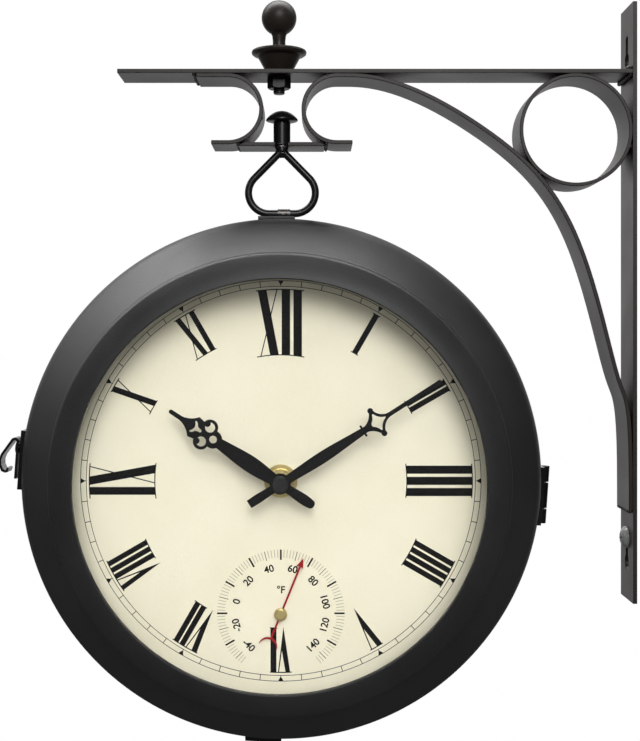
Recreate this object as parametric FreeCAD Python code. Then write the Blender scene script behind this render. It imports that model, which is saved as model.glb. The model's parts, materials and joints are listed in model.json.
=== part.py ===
"""Double sided station clock on a scrolled wall bracket.

Millimetres. x = 0 is the wall, and the clock hangs on the -x side. y = 0 is the middle of the
clock's depth, and the front dial faces -y. z = 0 is half way up the wall plate, +z is up.
Clock faces are drawn in (across, out) pairs: across is to the right for someone who faces the
dial, and out is the distance from the hands' axis.
"""
import FreeCAD
import Part
import math
import os

V = FreeCAD.Vector
X_AXIS = V(1, 0, 0)
Y_AXIS = V(0, 1, 0)
Z_AXIS = V(0, 0, 1)

# Bracket: one flat bar section, bent and welded
BAR_WIDTH = 25.0
BAR_THICK = 2.0
PLATE_HALF_HEIGHT = 145.5
ARM_UNDERSIDE = 110.85
ARM_TIP_X = -251.1
SCROLL_RADIUS = 17.2
ARCH_SCROLL_X = -144.9
ARCH_FOOT_Z = -100.6
LEFT_SCROLL_X = -197.7
RING_RADIUS = 27.35
RING_WALL = 1.8
KEYHOLE_HEAD_RADIUS = 4.0
KEYHOLE_SLOT_RADIUS = 2.3
UPPER_KEYHOLE_HEAD = 119.4
UPPER_KEYHOLE_SEAT = 129.3
LOWER_KEYHOLE_HEAD = -127.4
LOWER_KEYHOLE_SEAT = -115.1
SCREW_HEAD_RADIUS = 5.4

# Finial over the arm
FINIAL_X = -173.2
BALL_RADIUS = 8.6
BALL_Z = 140.3
COLLAR_TOP = 124.4
NUT_FLATS = 10.0

# Hanger between the scrolls
HANGER_BAR_TOP = 77.9
HANGER_BAR_WIDTH = 20.0
NECK_RADIUS = 2.95
SHANK_RADIUS = 4.15
WIRE_RADIUS = 1.8
LOOP_BEND = 10.2
LOOP_HALF_WIDTH = 16.45
LOOP_BEND_Z = 54.3

# Case: two spun steel shells that meet at y = 0
CLOCK_X = -171.8
CLOCK_Z = -85.0
CASE_RADIUS = 125.6
CASE_HALF_DEPTH = 50.0
SHEET = 0.9
SEAM_GAP = 0.15
LIP_RADIUS = 94.6
GLASS_FRONT = -47.0
GLASS_THICK = 2.0
DIAL_FRONT = -22.0
DIAL_THICK = 0.8
DIAL_RADIUS = 119.5
RING_IN = 101.6
RING_OUT = 103.2

# Movement and hands
ARBOR_RADIUS = 1.5
PIPE_RADIUS = 2.5
BUSH_RADIUS = 3.95
FIT = 0.05
HOUR_HAND_Y = -35.6
MINUTE_HAND_Y = -38.2
HAND_THICK = 0.7
HOUR_HAND_ANGLE = 303.5
MINUTE_HAND_ANGLE = 57.3
BODY_HALF = 28.0
BODY_BACK = -6.2
CELL_RADIUS = 7.1
CELL_LENGTH = 49.5

# Thermometer under the hands
THERMO_DROP = 62.9
SPINDLE_RADIUS = 1.0
CUP_RADIUS = 15.0
CUP_BACK = -12.2
NEEDLE_Y = -24.6
NEEDLE_THICK = 0.4
NEEDLE_ANGLE = 22.0

# Hinge, latch and foot, all turned a little from the dial's own upright
HARDWARE_TURN = 4.0
PIN_OUT = 128.7
KNUCKLE_RADIUS = 2.4
PIN_RADIUS = 1.2
HINGE_HALF = 14.1
KNUCKLE_LOW = -6.8
KNUCKLE_HIGH = 6.1
LATCH_HALF = 14.3
LEVER_PIVOT_UP = 5.5
LEVER_PIVOT_Y = -5.6
KEEPER_Y = 5.4


# ---------------------------------------------------------------- plain solids

def box(x, y, z):
    """A block from three (low, high) pairs."""
    return Part.makeBox(x[1] - x[0], y[1] - y[0], z[1] - z[0], V(x[0], y[0], z[0]))


def rod_y(x, z, radius, y):
    return Part.makeCylinder(radius, y[1] - y[0], V(x, y[0], z), Y_AXIS)


def rod_z(x, y, radius, z):
    return Part.makeCylinder(radius, z[1] - z[0], V(x, y, z[0]), Z_AXIS)


def polygon(points):
    return Part.Face(Part.makePolygon([*points, points[0]]))


def turned(points, centre, axis, out=X_AXIS):
    """A lathe-turned solid from (radius, height) points."""
    face = polygon([centre + out * r + axis * h for r, h in points])
    return face.revolve(centre, axis, 360)


def hexagon(radius_flats, low, high, centre):
    """A hexagonal prism that stands on z."""
    corner = radius_flats / math.cos(math.pi / 6)
    turns = [math.radians(60 * k) for k in range(6)]
    ring = [V(centre.x + corner * math.cos(t), centre.y + corner * math.sin(t), low) for t in turns]
    return polygon(ring).extrude(V(0, 0, high - low))


def fused(shapes):
    return shapes[0].multiFuse(shapes[1:]).removeSplitter()


def to_rear(shape):
    """The same piece for the dial on the other side: half a turn about the upright axis."""
    copy = shape.copy()
    copy.rotate(V(CLOCK_X, 0, 0), Z_AXIS, 180)
    return copy


# ---------------------------------------------------------------- bracket

def keyhole(head_z, seat_z):
    """The opening of a keyhole: a wide hole for the screw's head, and a slot up to its seat."""
    length = BAR_THICK + 2
    start = V(-BAR_THICK - 1, 0, head_z)
    head = Part.makeCylinder(KEYHOLE_HEAD_RADIUS, length, start, X_AXIS)
    end = Part.makeCylinder(KEYHOLE_SLOT_RADIUS, length, V(start.x, 0, seat_z), X_AXIS)
    slot = box((start.x, start.x + length), (-KEYHOLE_SLOT_RADIUS, KEYHOLE_SLOT_RADIUS), (head_z, seat_z))
    return fused([head, end, slot])


def wall_plate():
    half = BAR_WIDTH / 2
    plate = box((-BAR_THICK, 0), (-half, half), (-PLATE_HALF_HEIGHT, PLATE_HALF_HEIGHT))
    upper = keyhole(UPPER_KEYHOLE_HEAD, UPPER_KEYHOLE_SEAT)
    return plate.cut(upper).cut(keyhole(LOWER_KEYHOLE_HEAD, LOWER_KEYHOLE_SEAT))


def arm_bar():
    half = BAR_WIDTH / 2
    bar = box((ARM_TIP_X, -BAR_THICK), (-half, half), (ARM_UNDERSIDE, ARM_UNDERSIDE + BAR_THICK))
    return bar.cut(rod_z(FINIAL_X, 0, 3.2, (ARM_UNDERSIDE - 1, ARM_UNDERSIDE + BAR_THICK + 1)))


def line(start, end):
    return Part.makeLine(V(start[0], 0, start[1]), V(end[0], 0, end[1]))


def half_circle(x, z, radius, side):
    """A half circle from the top to the bottom of a scroll; side is +1 or -1 along x."""
    points = [V(x, 0, z + radius), V(x + side * radius, 0, z), V(x, 0, z - radius)]
    return Part.Arc(*points).toShape()


def strap(edges):
    """A flat strap from the closed outline of its edge, as wide as the bar."""
    outline = Part.Face(Part.Wire(Part.__sortEdges__(edges)))
    half = BAR_WIDTH / 2
    outline.translate(V(0, -half, 0))
    return outline.extrude(V(0, BAR_WIDTH, 0))


def arch_curve():
    """The strap's upper face from the arm down to the wall plate, touching the ring on its way."""
    touch = RING_RADIUS * math.sqrt(0.5) + 0.04
    ring = ring_centre()
    points = [V(-139, 0, ARM_UNDERSIDE), V(-111.6, 0, 105.6), V(-76, 0, 86.6),
              V(ring.x - touch, 0, ring.z - touch), V(-27.6, 0, 30.2), V(-7.6, 0, -38),
              V(-BAR_THICK, 0, -92)]
    curve = Part.BSplineCurve()
    curve.interpolate(Points=points, InitialTangent=V(1, 0, 0), FinalTangent=V(0, 0, -1))
    return curve


def arch_strap():
    middle = ARM_UNDERSIDE - SCROLL_RADIUS
    inner = SCROLL_RADIUS - BAR_THICK
    x = ARCH_SCROLL_X
    tail = x + 7.5
    bottom = middle - SCROLL_RADIUS
    outside = arch_curve()
    inside = Part.OffsetCurve(outside, -BAR_THICK, Y_AXIS).toBSpline()
    inner_top = inside.value(inside.FirstParameter)
    inner_foot = inside.value(inside.LastParameter)
    outer_foot = outside.value(outside.LastParameter)
    edges = [
        outside.toShape(),
        line((x, ARM_UNDERSIDE), (outside.value(outside.FirstParameter).x, ARM_UNDERSIDE)),
        half_circle(x, middle, SCROLL_RADIUS, -1),
        line((x, bottom), (tail, bottom)),
        line((tail, bottom), (tail, bottom + BAR_THICK)),
        line((tail, bottom + BAR_THICK), (x, bottom + BAR_THICK)),
        half_circle(x, middle, inner, -1),
        line((x, middle + inner), (inner_top.x, middle + inner)),
        inside.toShape(),
        line((inner_foot.x, inner_foot.z), (inner_foot.x, ARCH_FOOT_Z)),
        line((inner_foot.x, ARCH_FOOT_Z), (outer_foot.x, ARCH_FOOT_Z)),
        line((outer_foot.x, ARCH_FOOT_Z), (outer_foot.x, outer_foot.z)),
    ]
    return strap(edges)


def left_scroll():
    middle = ARM_UNDERSIDE - SCROLL_RADIUS
    inner = SCROLL_RADIUS - BAR_THICK
    x = LEFT_SCROLL_X
    top_end = x - 15.3
    tail = x - 8.05
    edges = [
        line((top_end, middle + inner), (top_end, ARM_UNDERSIDE)),
        line((top_end, ARM_UNDERSIDE), (x, ARM_UNDERSIDE)),
        half_circle(x, middle, SCROLL_RADIUS, 1),
        line((x, middle - SCROLL_RADIUS), (tail, middle - SCROLL_RADIUS)),
        line((tail, middle - SCROLL_RADIUS), (tail, middle - inner)),
        line((tail, middle - inner), (x, middle - inner)),
        half_circle(x, middle, inner, 1),
        line((x, middle + inner), (top_end, middle + inner)),
    ]
    return strap(edges)


def ring_centre():
    """The ring touches the arm, the wall plate and the arch."""
    return V(-BAR_THICK - RING_RADIUS, 0, ARM_UNDERSIDE - RING_RADIUS)


def bracket_ring():
    centre = ring_centre()
    half = BAR_WIDTH / 2
    outside = rod_y(centre.x, centre.z, RING_RADIUS, (-half, half))
    return outside.cut(rod_y(centre.x, centre.z, RING_RADIUS - RING_WALL, (-half - 1, half + 1)))


def hanger_bar():
    """The cross bar between the scrolls; its ends follow them, and a slot open to the front
    takes the hanger's neck."""
    half = HANGER_BAR_WIDTH / 2
    middle = ARM_UNDERSIDE - SCROLL_RADIUS
    bar = box((-192.6, -151.0), (-half, half), (HANGER_BAR_TOP - BAR_THICK, HANGER_BAR_TOP))
    for x in (LEFT_SCROLL_X, ARCH_SCROLL_X):
        bar = bar.cut(rod_y(x, middle, SCROLL_RADIUS, (-BAR_WIDTH, BAR_WIDTH)))
    width = NECK_RADIUS + 0.1
    through = (HANGER_BAR_TOP - BAR_THICK - 1, HANGER_BAR_TOP + 1)
    slot = box((CLOCK_X - width, CLOCK_X + width), (-half - 1, 0), through)
    return bar.cut(slot).cut(rod_z(CLOCK_X, 0, width, through))


def finial_ball():
    """Ball, flared neck and threaded stud, turned in one piece."""
    neck_top = BALL_Z - math.sqrt(BALL_RADIUS ** 2 - 4.1 ** 2)
    centre = V(FINIAL_X, 0, 0)
    stem = turned([(0, 102.8), (2.4, 102.8), (2.7, 103.3), (2.7, 112), (3.0, 112.4), (3.0, COLLAR_TOP),
                   (3.7, COLLAR_TOP), (3.2, COLLAR_TOP + 1.6), (3.1, 128.6), (3.4, neck_top - 1.2),
                   (4.1, neck_top + 0.2), (0, neck_top + 0.2)], centre, Z_AXIS)
    return fused([stem, Part.makeSphere(BALL_RADIUS, V(FINIAL_X, 0, BALL_Z))])


def finial_collar():
    foot = ARM_UNDERSIDE + BAR_THICK
    profile = [(3.05, foot), (6.0, foot), (10.6, 121.2), (12.3, 121.7), (13.3, 122.4), (13.55, 123.2),
               (13.3, 124.0), (12.6, COLLAR_TOP), (3.05, COLLAR_TOP)]
    return turned(profile, V(FINIAL_X, 0, 0), Z_AXIS)


def finial_nut():
    centre = V(FINIAL_X, 0, 0)
    low = ARM_UNDERSIDE - 5.5
    nut = hexagon(NUT_FLATS / 2, low, ARM_UNDERSIDE, centre)
    corner = NUT_FLATS / 2 / math.cos(math.pi / 6)
    chamfer = turned([(0, low), (NUT_FLATS / 2, low), (corner, low + 0.6), (corner, ARM_UNDERSIDE),
                      (0, ARM_UNDERSIDE)], centre, Z_AXIS)
    return nut.common(chamfer).cut(rod_z(FINIAL_X, 0, 2.7, (low - 1, ARM_UNDERSIDE + 1)))


def wall_screw():
    """The screw in the lower keyhole, drawn up to the wall's face."""
    z = LOWER_KEYHOLE_SEAT
    face = -BAR_THICK
    dome = [(0, face - 3.4), (2.2, face - 3.2), (4.0, face - 2.5), (5.1, face - 1.3),
            (SCREW_HEAD_RADIUS, face - 0.4), (SCREW_HEAD_RADIUS, face), (2.1, face), (2.1, 0), (0, 0)]
    head = turned(dome, V(0, 0, z), X_AXIS, out=Y_AXIS)
    for half in ((2.6, 0.45), (0.45, 2.6)):
        cross = box((face - 4, face - 1.6), (-half[0], half[0]), (z - half[1], z + half[1]))
        head = head.cut(cross)
    return head


# ---------------------------------------------------------------- hanger of the clock

def hanger_stud():
    """Mushroom head, thick shank whose shoulder rests on the bar, and a neck through the slot."""
    profile = [(0, 74.3), (2.4, 74.3), (NECK_RADIUS, 74.9), (NECK_RADIUS, HANGER_BAR_TOP),
               (SHANK_RADIUS, HANGER_BAR_TOP), (SHANK_RADIUS, 89.4), (6.0, 89.6), (7.4, 90.1),
               (7.9, 90.8), (7.7, 91.7), (6.9, 92.7), (5.4, 93.7), (3.4, 94.3), (0, 94.6)]
    return turned(profile, V(CLOCK_X, 0, 0), Z_AXIS)


def loop_points():
    """Centre line of the drop-shaped loop: its top, where each bend starts, and its foot."""
    side = LOOP_HALF_WIDTH - LOOP_BEND
    top = 75.2
    reach = math.hypot(side, top - LOOP_BEND_Z)
    lean = math.atan2(side, top - LOOP_BEND_Z)
    turn = math.asin(LOOP_BEND / reach)
    leg = math.sqrt(reach ** 2 - LOOP_BEND ** 2)
    across = leg * math.sin(lean + turn)
    drop = leg * math.cos(lean + turn)
    return side, top, across, top - drop


def wire_loop():
    """Round wire along the drop shape, in two halves that meet under the stud."""
    side, top, across, leg_z = loop_points()
    foot = LOOP_BEND_Z - LOOP_BEND
    halves = []
    for way in (1, -1):
        start = V(CLOCK_X, 0, top)
        knee = V(CLOCK_X + way * across, 0, leg_z)
        slant = math.radians(30)
        low = V(CLOCK_X + way * (side + LOOP_BEND * math.cos(slant)), 0,
                LOOP_BEND_Z - LOOP_BEND * math.sin(slant))
        bottom = V(CLOCK_X + way * side, 0, foot)
        path = Part.Wire([Part.makeLine(start, knee), Part.Arc(knee, low, bottom).toShape(),
                          Part.makeLine(bottom, V(CLOCK_X, 0, foot))])
        section = Part.Wire(Part.makeCircle(WIRE_RADIUS, start, knee - start))
        halves.append(path.makePipeShell([section], True, True))
    return fused(halves).cut(hanger_stud())


def loop_sleeve():
    """The short sleeve that closes the wire and is welded to the saddle."""
    foot = LOOP_BEND_Z - LOOP_BEND
    start = V(CLOCK_X - 2, 0, foot)
    tube = Part.makeCylinder(2.2, 6.1, start, X_AXIS)
    bore = Part.makeCylinder(WIRE_RADIUS, 8, start - X_AXIS, X_AXIS)
    return tube.cut(bore)


def saddle_plate():
    """Welded to the front shell, and clear of the rear one, which swings away under it."""
    top = LOOP_BEND_Z - LOOP_BEND - 2.2
    x = CLOCK_X - 2.4
    plate = box((x - 8.9, x + 8.9), (-11.4, 5.0), (top - 3, top))
    front = rod_y(CLOCK_X, CLOCK_Z, CASE_RADIUS, (-12, 0))
    rear = rod_y(CLOCK_X, CLOCK_Z, CASE_RADIUS + 0.4, (0, 12))
    return plate.cut(front).cut(rear)


# ---------------------------------------------------------------- case

def shell_outline():
    """The spun sheet's outer face as (radius, y), from the hem behind the lip to the seam."""
    def at(radius, y):
        return V(CLOCK_X + radius, y, CLOCK_Z)

    front = -CASE_HALF_DEPTH
    round_off = 0.6
    hem = at(LIP_RADIUS, front + round_off)
    lip = at(LIP_RADIUS + round_off, front)
    corner = at(LIP_RADIUS + round_off * (1 - math.sqrt(0.5)), front + round_off * (1 - math.sqrt(0.5)))
    bead_start = at(105.3, -42.85)
    bead_top = at(106.6, -42.75)
    bead_end = at(107.1, -41.5)
    groove = at(107.0, -41.0)
    bevel_end = at(121.2, -21.2)
    shoulder = at(124.55, -16.0)
    drum = at(CASE_RADIUS, -11.0)
    return [Part.makeLine(at(LIP_RADIUS, GLASS_FRONT), hem), Part.Arc(hem, corner, lip).toShape(),
            Part.makeLine(lip, bead_start), Part.Arc(bead_start, bead_top, bead_end).toShape(),
            Part.makeLine(bead_end, groove), Part.makeLine(groove, bevel_end),
            Part.Arc(bevel_end, shoulder, drum).toShape(),
            Part.makeLine(drum, at(CASE_RADIUS, -SEAM_GAP))]


def front_shell():
    """Spun steel: hemmed lip, cone, bead, bevel, rounded shoulder and half of the drum."""
    outer = Part.Wire(shell_outline())
    sheet = outer.makeOffset2D(-SHEET, 1, True, True)
    return sheet.revolve(V(CLOCK_X, 0, CLOCK_Z), Y_AXIS, 360)


def front_glass():
    return rod_y(CLOCK_X, CLOCK_Z, 97.2, (GLASS_FRONT, GLASS_FRONT + GLASS_THICK))


def front_spacer_ring():
    """Black ring that presses the glass against the hem and the dial against the shell."""
    back = GLASS_FRONT + GLASS_THICK
    profile = [(95.4, back), (100.6, back), (RING_OUT, back + 1.8), (RING_OUT, DIAL_FRONT),
               (RING_IN, DIAL_FRONT), (RING_IN, back + 1.4), (95.4, back + 1.4)]
    return turned(profile, V(CLOCK_X, 0, CLOCK_Z), Y_AXIS)


def front_dial():
    span = (DIAL_FRONT, DIAL_FRONT + DIAL_THICK)
    through = (DIAL_FRONT - 1, DIAL_FRONT + DIAL_THICK + 1)
    dial = rod_y(CLOCK_X, CLOCK_Z, DIAL_RADIUS, span)
    dial = dial.cut(rod_y(CLOCK_X, CLOCK_Z, BUSH_RADIUS, through))
    return dial.cut(rod_y(CLOCK_X, CLOCK_Z - THERMO_DROP, 1.6, through))


def front_dial_clips():
    """Four spring clips, spot-welded inside the drum, that hold the dial from behind."""
    back = DIAL_FRONT + DIAL_THICK
    inner = CASE_RADIUS - SHEET
    profile = [(112, back), (119.7, back), (inner, -11), (inner, -3), (inner - 1, -3),
               (inner - 1, -10.8), (119.2, back + 1), (112, back + 1)]
    centre = V(CLOCK_X, 0, CLOCK_Z)
    width = 4.0
    clips = []
    for k in range(4):
        face = polygon([centre + X_AXIS * r + Y_AXIS * h for r, h in profile])
        clip = face.revolve(centre, Y_AXIS, width)
        clip.rotate(centre, Y_AXIS, 45 + 90 * k - width / 2)
        clips.append(clip)
    return Part.makeCompound(clips)


# ---------------------------------------------------------------- quartz movement

def cell_y():
    return BODY_BACK - CELL_RADIUS - 0.5


def cell_z():
    return CLOCK_Z - BODY_HALF + CELL_RADIUS + 2.2


def front_movement():
    """Moulded housing with its threaded spout, the arbor's bores and an open cell bay."""
    back = DIAL_FRONT + DIAL_THICK
    span = (CLOCK_X - BODY_HALF, CLOCK_X + BODY_HALF)
    body = box(span, (back, BODY_BACK), (CLOCK_Z - BODY_HALF, CLOCK_Z + BODY_HALF))
    uprights = [e for e in body.Edges if abs(e.tangentAt(e.FirstParameter).y) > 0.9]
    body = body.makeFillet(4, uprights)
    spout = rod_y(CLOCK_X, CLOCK_Z, BUSH_RADIUS, (-30, back))
    body = fused([body, spout])
    body = body.cut(rod_y(CLOCK_X, CLOCK_Z, PIPE_RADIUS + FIT, (-31, -18)))
    body = body.cut(rod_y(CLOCK_X, CLOCK_Z, ARBOR_RADIUS + FIT, (-19, BODY_BACK + 1)))
    radius = CELL_RADIUS + 0.3
    half = CELL_LENGTH / 2 + 1.6
    bay = Part.makeCylinder(radius, 2 * half, V(CLOCK_X - half, cell_y(), cell_z()), X_AXIS)
    mouth = box((CLOCK_X - half, CLOCK_X + half), (cell_y(), BODY_BACK + 1),
                (cell_z() - radius, cell_z() + radius))
    return body.cut(bay).cut(mouth)


def front_cell():
    """AA cell: can, and the pip of its plus end, in the movement's bay."""
    start = CLOCK_X - CELL_LENGTH / 2 - 0.5
    base = V(start, cell_y(), cell_z())
    profile = [(0, 0), (CELL_RADIUS - 0.5, 0), (CELL_RADIUS, 0.5), (CELL_RADIUS, CELL_LENGTH - 0.5),
               (CELL_RADIUS - 0.5, CELL_LENGTH), (2.7, CELL_LENGTH), (2.7, CELL_LENGTH + 1),
               (0, CELL_LENGTH + 1)]
    return turned(profile, base, X_AXIS, out=Y_AXIS)


def front_washer():
    washer = rod_y(CLOCK_X, CLOCK_Z, 7.9, (DIAL_FRONT - 0.8, DIAL_FRONT))
    return washer.cut(rod_y(CLOCK_X, CLOCK_Z, BUSH_RADIUS, (-30, -20)))


def front_nut():
    """Round brass nut with a chamfered, fluted rim, for the fingers."""
    base = DIAL_FRONT - 0.8
    profile = [(BUSH_RADIUS, base), (5.9, base), (5.9, base - 1.9), (5.4, base - 2.4),
               (BUSH_RADIUS, base - 2.4)]
    nut = turned(profile, V(CLOCK_X, 0, CLOCK_Z), Y_AXIS)
    flutes = []
    for k in range(18):
        turn = math.radians(20 * k)
        x = CLOCK_X + 6.15 * math.cos(turn)
        z = CLOCK_Z + 6.15 * math.sin(turn)
        flutes.append(rod_y(x, z, 0.5, (base - 4, base + 1)))
    return nut.cut(Part.makeCompound(flutes))


def front_minute_arbor():
    """Steel arbor from the set knob through the movement to the minute hand."""
    return rod_y(CLOCK_X, CLOCK_Z, ARBOR_RADIUS, (MINUTE_HAND_Y - 1.6, BODY_BACK + 3.2))


def front_hour_pipe():
    pipe = rod_y(CLOCK_X, CLOCK_Z, PIPE_RADIUS, (HOUR_HAND_Y - 0.4, -18.2))
    return pipe.cut(rod_y(CLOCK_X, CLOCK_Z, ARBOR_RADIUS + FIT, (-40, -10)))


def front_set_knob():
    """Fluted thumb wheel, pressed on the back end of the arbor."""
    low = BODY_BACK + 0.3
    high = BODY_BACK + 3.7
    knob = rod_y(CLOCK_X, CLOCK_Z, 7.5, (low, high))
    flutes = []
    for k in range(12):
        turn = math.radians(30 * k)
        flutes.append(rod_y(CLOCK_X + 8.3 * math.cos(turn), CLOCK_Z + 8.3 * math.sin(turn), 1.4,
                            (low - 1, high + 1)))
    knob = knob.cut(Part.makeCompound(flutes))
    return knob.cut(rod_y(CLOCK_X, CLOCK_Z, ARBOR_RADIUS, (low - 1, BODY_BACK + 3.2)))


def front_hand_cap():
    """Turned cap that presses the minute hand on the arbor."""
    back = MINUTE_HAND_Y
    profile = [(0, back - 2.6), (3.3, back - 2.6), (3.8, back - 2.3), (3.9, back - 1.9), (3.9, back),
               (ARBOR_RADIUS, back), (ARBOR_RADIUS, back - 1.6), (0, back - 1.6)]
    return turned(profile, V(CLOCK_X, 0, CLOCK_Z), Y_AXIS)


# ---------------------------------------------------------------- hands, drawn pointing up

def at_hand(across, out):
    return V(across, 0, out)


def curve(points):
    spline = Part.BSplineCurve()
    spline.interpolate([at_hand(*p) for p in points])
    return spline.toShape()


def mirrored_outline(right_edges):
    """A closed face from the edges of its right half, from the bottom to the top."""
    left = [e.mirror(V(0, 0, 0), X_AXIS) for e in right_edges]
    edges = [*right_edges, *left]
    ends = [right_edges[0].Vertexes[0].Point, right_edges[-1].Vertexes[-1].Point]
    for end in ends:
        if end.x > 1e-6:
            edges.append(Part.makeLine(end, V(-end.x, 0, end.z)))
    return Part.Face(Part.Wire(Part.__sortEdges__(edges)))


def arc(start, middle, end):
    return Part.Arc(at_hand(*start), at_hand(*middle), at_hand(*end)).toShape()


def straight(start, end):
    return Part.makeLine(at_hand(*start), at_hand(*end))


def disc(across, out, radius):
    return Part.Face(Part.Wire(Part.makeCircle(radius, at_hand(across, out), Y_AXIS)))


def stamped(faces, holes, thick):
    """Outlines fused into one sheet, less its holes."""
    sheet = fused([f.extrude(V(0, thick, 0)) for f in faces])
    for hole in holes:
        tool = hole.extrude(V(0, thick + 2, 0))
        tool.translate(V(0, -1, 0))
        sheet = sheet.cut(tool)
    return sheet


def set_hand(shape, y, angle, drop=0.0):
    """Moves a hand from the drawing to its axis, turned clockwise as its dial is read."""
    shape.rotate(V(0, 0, 0), Y_AXIS, angle)
    shape.translate(V(CLOCK_X, y, CLOCK_Z - drop))
    return shape


def trefoil_hole():
    """The three-lobed piercing in the head of the hour hand."""
    return mirrored_outline([
        curve([(0.0, 44.0), (0.62, 44.3), (0.78, 45.0), (0.95, 45.9), (1.9, 47.1)]),
        curve([(1.9, 47.1), (2.75, 48.0), (2.85, 48.7), (2.3, 48.8)]),
        curve([(2.3, 48.8), (1.3, 48.1), (0.0, 47.7)]),
    ])


def front_hour_hand():
    """Leaf blade, quatrefoil head with a round eye, two crescents and a trefoil, and a point."""
    lobe_out = 41.6
    lobe_across = 3.85
    blade = mirrored_outline([
        arc((0, -18.8), (1.1, -18.6), (1.95, -17.7)),
        curve([(1.95, -17.7), (2.45, -12), (2.1, -6), (2.3, 0), (3.1, 7), (3.85, 16), (3.45, 24),
               (2.4, 34.5)]),
    ])
    head = mirrored_outline([
        straight((2.4, 40), (4.7, 45.2)),
        straight((4.7, 45.2), (5.25, 48.4)),
        arc((5.25, 48.4), (2.9, 50.8), (1.05, 55.6)),
        straight((1.05, 55.6), (1.0, 60.8)),
        arc((1.0, 60.8), (0.71, 61.51), (0, 61.8)),
    ])
    faces = [blade, head, disc(0, 0, 4.9), disc(0, 37.4, 4.2)]
    holes = [disc(0, 37.4, 1.8), trefoil_hole(), disc(0, 0, PIPE_RADIUS)]
    for side in (1, -1):
        faces.append(disc(side * lobe_across, lobe_out, 3.75))
        crescent = disc(side * lobe_across, lobe_out, 2.35)
        bite = disc(side * (lobe_across + 0.9), lobe_out + 2.0, 1.5)
        holes.append(crescent.cut(bite))
    hand = stamped(faces, holes, HAND_THICK)
    collar = rod_y(0, 0, 3.6, (HAND_THICK, HAND_THICK + 2.6)).cut(rod_y(0, 0, PIPE_RADIUS, (-1, 5)))
    return set_hand(fused([hand, collar]), HOUR_HAND_Y, HOUR_HAND_ANGLE)


def front_minute_hand():
    """Leaf blade, a small cross bar, an open square with hollow sides and ball ends, and a bar."""
    ball_out = 53.5
    ball_across = 6.1
    blade = mirrored_outline([
        straight((2.0, -17.0), (2.15, -12)),
        curve([(2.15, -12), (1.9, -4), (2.1, 6), (2.75, 24), (2.1, 37), (1.5, 47.5)]),
    ])
    square = mirrored_outline([
        straight((0, 46.9), (1.35, 46.9)),
        arc((1.35, 46.9), (2.95, 50.3), (5.6, 52.4)),
        straight((5.6, 52.4), (5.6, 54.6)),
        arc((5.6, 54.6), (2.6, 56.5), (1.0, 59.9)),
        straight((1.0, 59.9), (0.95, 88.2)),
        straight((0.95, 88.2), (0.6, 88.7)),
    ])
    opening = mirrored_outline([
        straight((0, 50.5), (0.75, 50.7)),
        arc((0.75, 50.7), (2.2, 52.2), (4.2, 53.2)),
        straight((4.2, 53.2), (4.2, 53.8)),
        arc((4.2, 53.8), (1.7, 55.5), (0.25, 58.0)),
    ])
    bar = mirrored_outline([straight((2.9, 45.4), (2.9, 46.4))])
    faces = [blade, square, bar, disc(0, 0, 3.6)]
    faces.extend(disc(side * ball_across, ball_out, 1.35) for side in (1, -1))
    hand = stamped(faces, [opening, disc(0, 0, ARBOR_RADIUS)], HAND_THICK)
    return set_hand(hand, MINUTE_HAND_Y, MINUTE_HAND_ANGLE)


# ---------------------------------------------------------------- thermometer

def front_thermometer_cup():
    """Open cup behind the dial, with a bush for the spindle in its back."""
    back = DIAL_FRONT + DIAL_THICK
    profile = [(CUP_RADIUS - 1, back), (CUP_RADIUS, back), (CUP_RADIUS, CUP_BACK),
               (SPINDLE_RADIUS + FIT, CUP_BACK), (SPINDLE_RADIUS + FIT, CUP_BACK - 3), (2.6, CUP_BACK - 3),
               (2.6, CUP_BACK - 1.2), (CUP_RADIUS - 1, CUP_BACK - 1.2)]
    return turned(profile, V(CLOCK_X, 0, CLOCK_Z - THERMO_DROP), Y_AXIS)


def front_thermometer_coil():
    """Flat spiral of bimetal strip, from beside the spindle out to the cup's wall."""
    strip = 0.5
    step = 2.0
    first = 2.4
    half_turns = 6
    width = (-20.0, -16.0)
    pieces = []
    for k in range(half_turns):
        side = 1 if k % 2 == 0 else -1
        radius = first + step * k / 1.2
        shift = 0.0 if side > 0 else -step / 1.2
        tube = rod_y(shift, 0, radius, width).cut(rod_y(shift, 0, radius - strip, (-22, -14)))
        keep = box((-20, 20), width, (0, 20)) if side > 0 else box((-20, 20), width, (-20, 0))
        pieces.append(tube.common(keep))
    coil = fused(pieces)
    coil.translate(V(CLOCK_X, 0, CLOCK_Z - THERMO_DROP))
    return coil


def front_thermometer_spindle():
    """Brass spindle with a stepped round head in front of the needle."""
    front = NEEDLE_Y
    profile = [(0, CUP_BACK - 0.2), (SPINDLE_RADIUS, CUP_BACK - 0.2), (SPINDLE_RADIUS, front),
               (3.05, front), (3.1, front - 0.5), (2.7, front - 1.0), (2.35, front - 1.0),
               (2.1, front - 1.4), (0, front - 1.4)]
    return turned(profile, V(CLOCK_X, 0, CLOCK_Z - THERMO_DROP), Y_AXIS)


def front_thermometer_needle():
    """Thin needle with an arrow point and a crescent for a counterweight."""
    shaft = mirrored_outline([straight((0.45, -12.6), (0.45, 25.5))])
    point = mirrored_outline([straight((0, 24.6), (1.75, 23.9)), straight((1.75, 23.9), (0, 28.6))])
    crescent = disc(0, -16.4, 4.5).cut(disc(0, -17.3, 4.35))
    needle = stamped([shaft, point, disc(0, 0, 2.4)], [disc(0, 0, SPINDLE_RADIUS)], NEEDLE_THICK)
    moon = crescent.extrude(V(0, NEEDLE_THICK, 0)).common(
        box((-6, 6), (-1, 1), (-16.6, -10)))
    return set_hand(fused([needle, moon]), NEEDLE_Y, NEEDLE_ANGLE, THERMO_DROP)


# ---------------------------------------------------------------- hinge, latch and foot
# Drawn on an upright case, with out = distance from the case's axis and up = along its rim,
# then turned with the hardware.

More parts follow.
